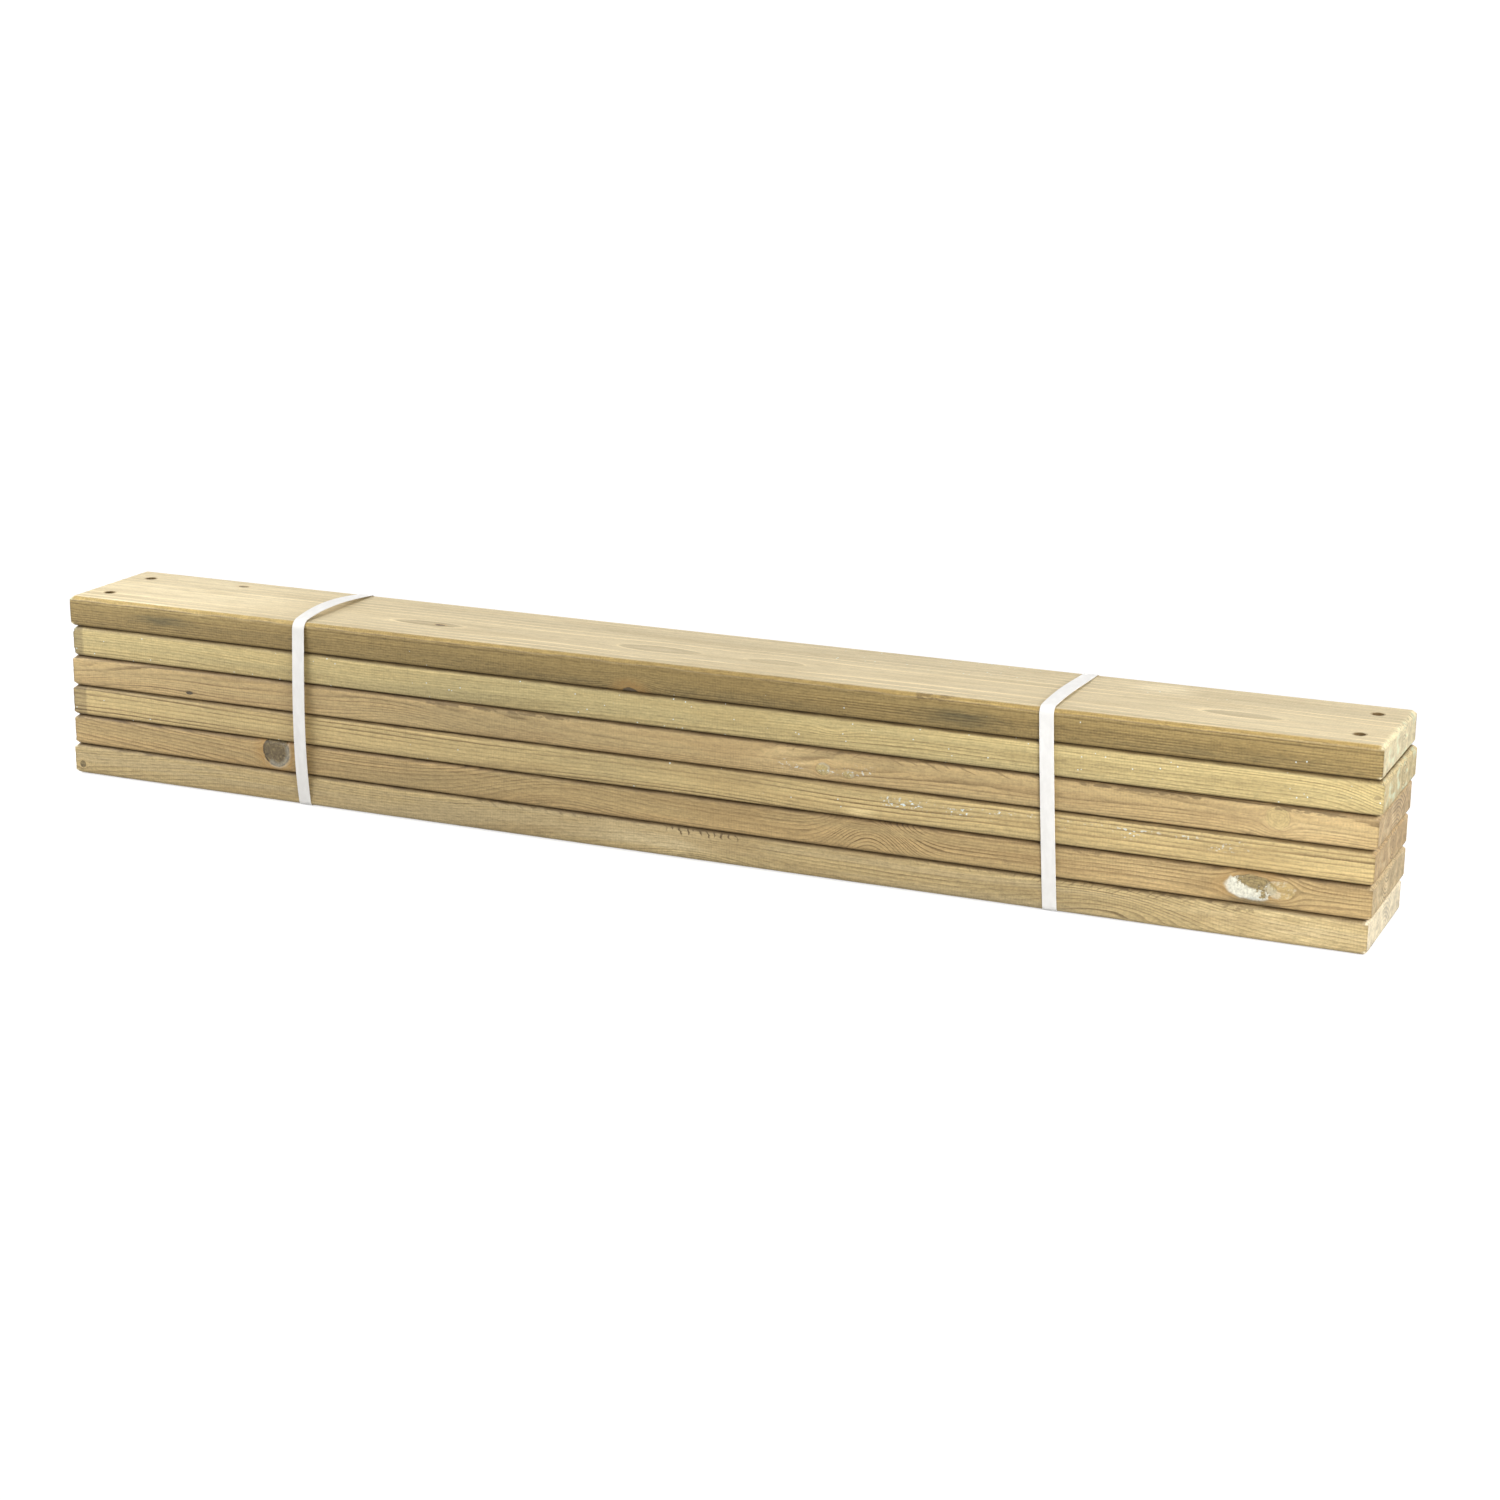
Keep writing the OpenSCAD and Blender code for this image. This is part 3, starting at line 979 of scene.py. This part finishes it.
def paint_end(g, wood, colour, place, dark):
    """Gives the sawn ends their grain, and the chamfers paler frayed spots."""
    colour = g.mix(g.read("end"), colour, end_grain(g, wood, place, dark))
    frayed = g.times(g.read("chamfer"), g.step(g.noise(place, (3, 3.2, 3), 3), 0.44, 0.58))
    return g.mix(frayed, colour, tuple(1.12 * c for c in wood.end_colour))


def ringed_wood(g, wood, grain, bold, dark, pale):
    """Colour of the growth rings and of the wide streaks along them."""
    contrast = g.add(g.read("face"), (wood.front_contrast or wood.contrast) - wood.contrast, wood.contrast)
    come_and_go = g.add(g.noise(grain, (150, 5, 5), 2), 2.2, -0.1)
    contrast = g.add(bold, 0.6, g.times(contrast, come_and_go))
    colour = g.mix(g.math("MULTIPLY", dark, contrast, clamp=True), wood.early, wood.late)
    bright = tuple(min(0.9, 1.42 * c) for c in wood.early)
    colour = g.mix(g.times(pale, g.add(bold, wood.glint, wood.glint)), colour, bright)
    for period, low, high, strength, streak in (
        ((300, 9, 9), 0.44, 0.62, 0.6, wood.tint), ((130, 16, 16), 0.48, 0.66, 0.55, wood.shade),
    ):
        colour = g.mix(g.times(g.step(g.noise(grain, period, 3), low, high), strength), colour, streak)
    rounded = g.math("SUBTRACT", g.read("front"), g.read("face"))
    colour = g.tint(rounded, colour, wood.edge_tint)
    return g.tint(g.read("face"), colour, wood.front_tint)


def wood_shade(g, wood, grain, place, band):
    """Lighter and darker fibres and pores, and painted shade for the faint ripple that the planer left."""
    fibre = g.noise(grain, (11, 1.3, 1.3), 3, 0.6)
    streak = g.noise(grain, (240, 4.5, 4.5), 3, 0.55)
    speckle = g.noise(place, (2.2, 1.6, 1.6), 2, 0.6)
    # Painted shade of the planer's ripple, in patches
    turn = g.times(g.dot(place, X_AXIS), RIPPLE_RATE)
    planer_ripple_shade = g.math("SINE", g.add(g.noise(place, (60, 30, 30), 1), 9.0, turn))
    patch = g.step(g.noise(place, (70, 14, 14), 2), 0.40, 0.60)
    dashes = g.add(g.step(fibre, 0.47, 0.38), 0.09, g.times(g.step(fibre, 0.53, 0.62), -0.13))
    fine = g.add(g.centred(speckle), 0.55, g.add(g.times(planer_ripple_shade, patch), RIPPLE_SHADE, dashes))
    shade = g.add(g.dot(place, Z_AXIS), wood.lift / HALF_THICKNESS, 1.0)
    shade = g.add(fine, g.add(g.read("front"), 0.35 * wood.grit, 0.65), shade)
    for value in (streak, band):
        shade = g.add(g.centred(value), 0.5, shade)
    return shade, fibre


def darken_strip_and_shade_hollows(g, colour, place):
    """Darkens the strip that a spacer left and the rim round each hole, and paints shade into the grooves
    between planks and inside the holes.
    """
    colour = g.tint(g.read("strip"), colour, STRIP)
    # Painted shade in the grooves between planks
    groove_shade = g.times(g.read("groove_shade"), g.add(g.noise(place, (24, 4, 4), 3), 1.0, 0.5))
    colour = g.tint(g.math("MINIMUM", groove_shade, 1.0), colour, GROOVE_SHADE)
    uneven = g.add(g.noise(place, (3, 3, 3), 2), 2.6, -0.4)
    colour = g.tint(g.math("MULTIPLY", g.read("mouth"), uneven, clamp=True), colour, MOUTH)
    # Painted shade inside the holes
    return g.tint(g.read("bored_shade"), colour, BORED_SHADE)


def wood_material(name, wood, half):
    """Treated softwood with the rings, knots and marks of one plank."""
    material, g = new_material("treated_pine_" + name)
    grain, place = g.read("grain", "Vector"), g.read("place", "Vector")
    bold = g.read("bold")
    dark, pale, band = ring_masks(g, grain, bold)
    colour = ringed_wood(g, wood, grain, bold, dark, pale)
    colour = paint_end(g, wood, colour, place, dark)
    shade, fibre = wood_shade(g, wood, grain, place, band)
    colour = darken_strip_and_shade_hollows(g, g.brighten(colour, shade), place)
    for tear in wood.tears:
        colour = paint_tear(g, colour, place, tear, half)
    for knot in wood.knots:
        colour = paint_knot(g, colour, place, knot)
    for paint in (paint_stains_and_highlights, paint_wear_and_nick_shade, paint_salt):
        colour = paint(g, colour, place)
    g.surface(colour, g.add(fibre, 0.25, 0.50), g.add(dark, 0.35, fibre), WOOD_BUMP)
    return material


# Straps

STRAP_WIDTH = 12.0
STRAP_THICKNESS = 0.6
WELD_LENGTH = 36.0
BEHIND, TOP = 1, 2
WHITE_DULL = (0.81, 0.795, 0.765)
WHITE_BRIGHT = (0.87, 0.855, 0.825)


@dataclass
class Strap:
    """Slack of one strap in millimetres. The slopes are those of a run at its two ends."""
    bulge: float
    drift: float
    twist: float
    bend: float
    top_slopes: tuple
    front_slopes: tuple


STRAPS = {
    "strap_left": Strap(
        bulge=4.2, drift=0.0, twist=-0.6, bend=9.0, top_slopes=(0.13, 0.19), front_slopes=(0.06, 0.17)),
    "strap_right": Strap(
        bulge=0.8, drift=8.0, twist=-0.4, bend=7.0, top_slopes=(0.03, 0.08), front_slopes=(0.03, 0.03)),
}


def strap_corners(strap, half_y, low_z, high_z):
    """Centre, radius, and first and last angle of the turn at each corner."""
    y, low, high = half_y - EDGE_RADIUS, low_z + EDGE_RADIUS, high_z - EDGE_RADIUS
    corners = np.array([(-y, low), (y, low), (y, high), (-y, high)])
    bends = np.array([EDGE_RADIUS, EDGE_RADIUS, EDGE_RADIUS + 1, strap.bend])
    inward = np.sign((0, (low + high) / 2) - corners) * math.sqrt(0.5)
    centres = corners + (bends - EDGE_RADIUS)[:, None] * inward
    back_slope = 4 * strap.bulge / (high - low)
    slopes = [(0.0, 0.0), (back_slope, back_slope), strap.top_slopes, strap.front_slopes]
    turns = []
    for k in range(4):
        base = math.pi / 2 * (k - 1)
        first = base - math.pi / 2 + math.atan(slopes[k - 1][1])
        turns.append((first, base - math.atan(slopes[k][0])))
    return centres, bends, turns


def bowed_run(start, end, first, last):
    """Points, outward directions and shares of a run that meets both corners smoothly."""
    length = np.linalg.norm(end - start)
    leave, arrive = (length * turned(angle + math.pi / 2) for angle in (first, last))
    t = np.linspace(0, 1, round(length / STEP_STRAP) + 1)[:, None]
    near, far = 2 * t**3 - 3 * t**2 + 1, 3 * t**2 - 2 * t**3
    points = near * start + far * end + (t**3 - 2 * t**2 + t) * leave + (t**3 - t**2) * arrive
    way = (6 * t**2 - 6 * t) * (start - end) + (3 * t**2 - 4 * t + 1) * leave + (3 * t**2 - 2 * t) * arrive
    way /= np.linalg.norm(way, axis=1, keepdims=True)
    return points, np.c_[way[:, 1], -way[:, 0]], t[:, 0]


def strap_path(strap, half_y, low_z, high_z):
    """Points of the strap's inside, outward directions, and each point's run and share of it."""
    centres, bends, turns = strap_corners(strap, half_y, low_z, high_z)
    rows = []
    for k in range(4):
        after = (k + 1) % 4
        first, last = turns[k]
        meet = turns[after][0] + (math.tau if after == 0 else 0)
        out = turned(np.linspace(first, last, CORNER_STEPS + 1)[:-1])
        rows.append(np.c_[centres[k] + bends[k] * out, out, np.full((len(out), 2), (k, -1.0))])
        start = centres[k] + bends[k] * turned(last)
        end = centres[after] + bends[after] * turned(meet)
        points, out, share = bowed_run(start, end, last, meet)
        rows.append(np.c_[points, out, np.full(len(points), k), share])
    rows = np.vstack(rows)
    return rows[:, :2], rows[:, 2:4], rows[:, 4], rows[:, 5]


def strap_profile():
    """Places across the band and shares of its thickness, once round its section."""
    half = STRAP_WIDTH / 2
    flat = np.linspace(-half + 0.6, half - 0.6, 17)
    across = np.concatenate([[-half, -half + 0.15], flat, [half - 0.15, half]])
    outer = np.c_[across, np.where(np.abs(across) > half - 0.1, 0.7, 1.0)]
    inner = np.c_[across[::-4], np.where(np.abs(across[::-4]) > half - 0.1, 0.3, 0.0)]
    return np.vstack([outer, inner])


def strap_points(strap, middle_x, stack, path, out, run, share):
    """Points of a strap, row by row along it, and where it is welded."""
    low_z, high_z = stack
    v, layer = strap_profile().T
    from_weld = np.abs(share - 0.5) * (high_z - low_z)
    on_run = share >= 0
    welded = on_run * (run == BEHIND) * (1 - smooth(from_weld, WELD_LENGTH / 2 - 0.3, WELD_LENGTH / 2 + 0.3))
    twist = on_run * (run == TOP) * 4 * share * (1 - share) * strap.twist
    lift = layer * STRAP_THICKNESS * (1 + welded[:, None] * (layer > 0.3))
    lift = lift + twist[:, None] * v / (STRAP_WIDTH / 2)
    lean = strap.drift / (high_z - low_z)
    points = np.empty((len(path), len(v), 3))
    points[..., 1:] = path[:, None, :] + out[:, None, :] * lift[..., None]
    points[..., 0] = middle_x + v - lean * (path[:, 1:] - (low_z + high_z) / 2)
    return points, v, welded


def build_strap(name, strap, stack_low, stack_high):
    """Builds one dressed strap in place of its plain node."""
    low, high = (np.array(corner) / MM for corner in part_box(name))
    stack = stack_low[2], stack_high[2]
    path, *rest = strap_path(strap, stack_high[1], *stack)
    points, v, welded = strap_points(strap, (low[0] + high[0]) / 2, stack, path, *rest)
    length = np.r_[0, np.cumsum(np.linalg.norm(np.diff(path, axis=0), axis=1))]
    index = np.arange(points.shape[0] * points.shape[1]).reshape(points.shape[:2])
    after, beside = np.roll(index, -1, axis=0), np.roll(index, -1, axis=1)
    quads = np.stack([index, beside, np.roll(after, -1, axis=1), after], -1).reshape(-1, 4)
    piece = mesh_object("dressed_" + name, points.reshape(-1, 3) * MM, {4: [quads]})
    place = np.stack(np.broadcast_arrays(length[:, None], v[None, :], welded[:, None]), -1)
    write_fields(piece.data, {"band": place.reshape(-1, 3)})
    piece.data.materials.append(strap_material(name))
    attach(piece, BODY)
    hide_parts(name)


def strap_material(name):
    """Cloudy white plastic, embossed all over and pressed at the weld."""
    material, g = new_material("white_strap_" + name)
    band = g.read("band", "Vector")
    along, across, weld = (g.dot(band, axis) for axis in (X_AXIS, Y_AXIS, Z_AXIS))
    slants = [g.math(sign, along, across) for sign in ("ADD", "SUBTRACT")]
    emboss = g.times(*(g.math("SINE", g.times(slant, EMBOSS_RATE)) for slant in slants))
    pressed = g.times(g.math("SINE", g.times(along, PRESS_RATE)), weld)
    cloud = g.noise(band, (14, 6, 6), 3)
    colour = g.mix(g.step(cloud, 0.35, 0.7), WHITE_DULL, WHITE_BRIGHT)
    # The embossing also lightens and darkens the colour a little: painted shade of its relief
    colour = g.brighten(colour, g.add(emboss, 0.03, 0.97))
    g.surface(colour, g.add(cloud, 0.2, 0.33), g.add(pressed, 2.5, emboss), STRAP_BUMP)
    return material


# Floor, light and camera

AMBIENT = 0.27
FLOOR_ALBEDO = 0.50
FLOOR_GLOW = 0.60
GLOW_NEAR, GLOW_FAR = 0.9, 2.6
PHOTO_SIDE = 1500
FOCAL_PIXELS = 2940.94
SENSOR = 36.0
AZIMUTH, ELEVATION, ROLL = 23.681, 15.789, 0.363
DISTANCE = 2.50214
TARGET = Vector((0.052394, 0.0, 0.085016))

# Name, place, aim and size in metres, and power in watts of each soft box
SOFT_BOXES = (
    ("overhead", (-0.60, 0.15, 2.0), (-0.20, 0, 0.1), (4.2, 0.9), 28.0),
    ("right_front", (1.15, -0.80, 0.60), (0.6, 0, 0.1), (0.6, 0.6), 15.0),
    ("left_front", (-1.20, -0.60, 0.60), (-0.6, 0, 0.1), (0.6, 0.6), 9.0),
    ("right_end", (2.1, -0.35, 0.8), (0.6, 0, 0.1), (0.8, 0.8), 4.5),
    ("behind", (-0.2, 1.9, 0.10), (-0.2, 0, 0.10), (2.4, 0.13), 8.0),
)


def seen_directly(g):
    """1 for rays from the camera, a gloss or a clear surface, and 0 for the others."""
    rays = g.node("LightPath", {}).outputs
    total = rays["Is Camera Ray"]
    for name in ("Is Glossy Ray", "Is Transmission Ray"):
        total = g.math("MAXIMUM", total, rays[name])
    return total


def build_world():
    """White where it is seen, and a plain even light on the bundle."""
    world = bpy.data.worlds.new("studio")
    bpy.context.scene.world = world
    world.use_nodes = True
    g = Graph(world.node_tree)
    strength = g.add(seen_directly(g), 1.0 - AMBIENT, AMBIENT)
    background = g.node("Background", {"Color": (1.0, 1.0, 1.0), "Strength": strength})
    g.node("OutputWorld", {"Surface": background.outputs[0]})


def build_floor():
    """A pale floor that goes over into the white background away from the bundle."""
    bpy.ops.mesh.primitive_circle_add(vertices=96, radius=40, fill_type="NGON")
    floor = bpy.context.object
    floor.name = "studio_floor"
    material, g = new_material("pale_floor")
    diffuse = g.node("BsdfDiffuse", {"Color": (FLOOR_ALBEDO,) * 3})
    place = g.node("TexCoord", {}).outputs["Object"]
    reach = g.vector("LENGTH", place, output="Value")
    level = g.add(g.step(reach, GLOW_NEAR, GLOW_FAR), 1.0 - FLOOR_GLOW, FLOOR_GLOW)
    strength = g.times(seen_directly(g), level)
    glow = g.node("Emission", {"Color": (1.0, 1.0, 1.0), "Strength": strength})
    both = g.node("AddShader", {0: diffuse.outputs[0], 1: glow.outputs[0]})
    g.node("OutputMaterial", {"Surface": both.outputs[0]})
    floor.data.materials.append(material)


def build_lights():
    """Large soft lamps round the bundle."""
    for name, place, aim, size, power in SOFT_BOXES:
        light = bpy.data.lights.new(name, "AREA")
        light.shape = "RECTANGLE"
        light.size, light.size_y = size
        light.energy = power
        lamp = bpy.data.objects.new(name, light)
        lamp.location = place
        lamp.rotation_euler = (Vector(aim) - Vector(place)).to_track_quat("-Z", "Y").to_euler()
        bpy.context.collection.objects.link(lamp)


def build_camera():
    """A camera at the place and angle of the photograph."""
    a, e, r = (math.radians(v) for v in (AZIMUTH, ELEVATION, ROLL))
    back = Vector((math.sin(a) * math.cos(e), -math.cos(a) * math.cos(e), math.sin(e)))
    right = Vector((math.cos(a), math.sin(a), 0))
    up = back.cross(right)
    right, up = right * math.cos(r) + up * math.sin(r), up * math.cos(r) - right * math.sin(r)
    data = bpy.data.cameras.new("camera")
    data.sensor_width = SENSOR
    data.lens = FOCAL_PIXELS / PHOTO_SIDE * SENSOR
    data.clip_end = 200
    camera = bpy.data.objects.new("camera", data)
    rotation = Matrix((right, up, back)).transposed()
    camera.matrix_world = Matrix.Translation(TARGET + back * DISTANCE) @ rotation.to_4x4()
    bpy.context.collection.objects.link(camera)
    bpy.context.scene.camera = camera


def main():
    for name, wood in WOODS.items():
        build_plank(name, wood)
    stack_low = np.array(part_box("plank_1")[0]) / MM
    stack_high = np.array(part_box("plank_6")[1]) / MM
    for name, strap in STRAPS.items():
        build_strap(name, strap, stack_low, stack_high)
    build_world()
    build_floor()
    build_lights()
    build_camera()
    bpy.context.scene.view_settings.view_transform = "Standard"


main()
